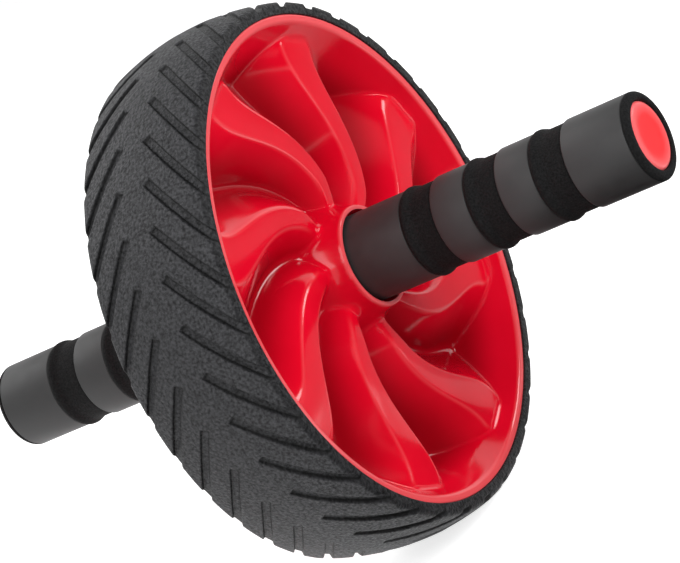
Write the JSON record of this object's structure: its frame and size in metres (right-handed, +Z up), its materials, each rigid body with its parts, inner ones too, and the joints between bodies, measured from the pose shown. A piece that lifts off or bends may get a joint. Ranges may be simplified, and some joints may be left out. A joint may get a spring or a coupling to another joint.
{
  "type": "ab wheel roller",
  "caption": "Exercise wheel with one wide rubber-treaded wheel, a red dished hub with swirling blades, and a straight foam-gripped handle on each side.",
  "frame": {"origin": "centre of the wheel, on the axle's line", "axes": "+Y along the axle towards the left handle, +X the way the wheel rolls, +Z up"},
  "size_m": [0.2, 0.2852, 0.2],
  "materials": {
    "tread_rubber": "matt, grained",
    "red_hub": "glossy",
    "red_cap": "satin gloss",
    "black_foam": "fine open foam",
    "grey_band": "satin skin",
    "core_plastic": "matt",
    "zinc_steel": "zinc plated",
    "bearing_steel": "ground"
  },
  "bodies": {
    "axle": {"axle_rod": "zinc_steel", "bearing_spacer": "zinc_steel", "left_bearing_balls": "bearing_steel", "left_bearing_inner_ring": "bearing_steel", "left_end_cap": "red_cap", "left_foam_sleeve": "black_foam", "left_grip_band_1": "grey_band", "left_grip_band_2": "grey_band", "left_grip_band_3": "grey_band", "left_grip_band_4": "grey_band", "left_handle_bolt": "zinc_steel", "left_handle_core": "core_plastic", "left_handle_washer": "zinc_steel", "left_thrust_washer": "zinc_steel", "right_bearing_balls": "bearing_steel", "right_bearing_inner_ring": "bearing_steel", "right_end_cap": "red_cap", "right_foam_sleeve": "black_foam", "right_grip_band_1": "grey_band", "right_grip_band_2": "grey_band", "right_grip_band_3": "grey_band", "right_grip_band_4": "grey_band", "right_handle_bolt": "zinc_steel", "right_handle_core": "core_plastic", "right_handle_washer": "zinc_steel", "right_thrust_washer": "zinc_steel"},
    "wheel": {"right_wheel_half": "red_hub", "left_wheel_half": "red_hub", "wheel_screws": "zinc_steel", "tread": "tread_rubber", "right_bearing_outer_ring": "bearing_steel", "left_bearing_outer_ring": "bearing_steel"}
  },
  "joints": [
    {"name": "wheel_spin", "type": "hinge", "parent": "axle", "child": "wheel", "pos_m": [0, 0, 0], "axis": [0, 1, 0], "continuous": true}
  ]
}
